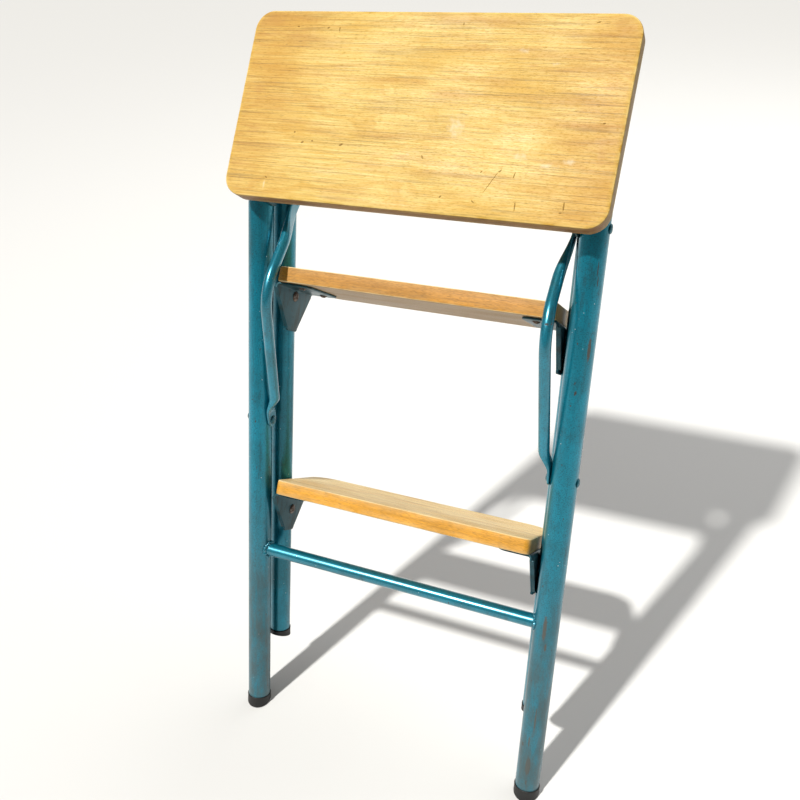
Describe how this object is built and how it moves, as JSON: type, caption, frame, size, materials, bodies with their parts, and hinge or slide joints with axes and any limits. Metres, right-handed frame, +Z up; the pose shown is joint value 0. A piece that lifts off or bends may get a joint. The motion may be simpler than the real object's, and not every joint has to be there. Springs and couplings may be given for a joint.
{
  "type": "folding step stool",
  "caption": "Folding step stool: a painted tube frame with a wooden seat and wooden treads that folds flat on riveted hinges and bent struts",
  "frame": {"origin": "on the floor under the middle of the folded stool's box", "axes": "+X to the right, -Y towards the side away from the climber, where the folded seat's top faces, +Z up"},
  "size_m": [0.402, 0.2996, 0.7993],
  "materials": {
    "paint": "worn semi-gloss teal enamel",
    "seat_wood": "worn satin varnish over beech",
    "tread_wood": "worn satin varnish over beech",
    "rubber": "matte black",
    "plastic": "matte black",
    "steel": "dull, browned by age"
  },
  "bodies": {
    "front_frame": {"front_leg_left": "paint", "front_leg_right": "paint", "cross_bar": "paint", "front_foot_left": "rubber", "front_foot_right": "rubber", "front_plug_left": "plastic", "front_plug_right": "plastic", "front_hinge_rivets": "steel", "strut_pivot_rivets": "steel"},
    "seat": {"seat_board": "seat_wood", "hinge_plate_front_left": "paint", "hinge_plate_front_right": "paint", "hinge_plate_rear_left": "paint", "hinge_plate_rear_right": "paint", "seat_screws": "steel"},
    "step_frame": {"rear_leg_left": "paint", "rear_leg_right": "paint", "rear_foot_left": "rubber", "rear_foot_right": "rubber", "rear_plug_left": "plastic", "rear_plug_right": "plastic", "upper_tread": "tread_wood", "lower_tread": "tread_wood", "tread_bracket_upper_left": "paint", "tread_bracket_upper_right": "paint", "tread_bracket_lower_left": "paint", "tread_bracket_lower_right": "paint", "bracket_rivets": "steel", "tread_screws": "steel", "rear_hinge_rivets": "steel"},
    "left_strut": {"strut_left": "paint", "strut_rivet_left": "steel"},
    "right_strut": {"strut_right": "paint", "strut_rivet_right": "steel"}
  },
  "joints": [
    {"name": "seat_hinge", "type": "hinge", "parent": "front_frame", "child": "seat", "pos_m": [0, 0.05735, 0.62638], "axis": [-1, 0, 0], "range_deg": [0, 52]},
    {"name": "step_frame_hinge", "type": "hinge", "parent": "seat", "child": "step_frame", "pos_m": [0, 0.11559, 0.70093], "axis": [1, 0, 0], "range_deg": [0, 87.2]},
    {"name": "left_strut_pivot", "type": "hinge", "parent": "front_frame", "child": "left_strut", "pos_m": [0, -0.01808, 0.37965], "axis": [-1, 0, 0], "range_deg": [0, 27.22]},
    {"name": "right_strut_pivot", "type": "hinge", "parent": "front_frame", "child": "right_strut", "pos_m": [0, -0.01808, 0.37965], "axis": [-1, 0, 0], "range_deg": [0, 27.22]}
  ],
  "couplings": [
    {"joint": "step_frame_hinge", "follows": "seat_hinge", "ratio": 1.6767},
    {"joint": "left_strut_pivot", "follows": "seat_hinge", "ratio": 0.52325},
    {"joint": "right_strut_pivot", "follows": "seat_hinge", "ratio": 0.52325}
  ]
}
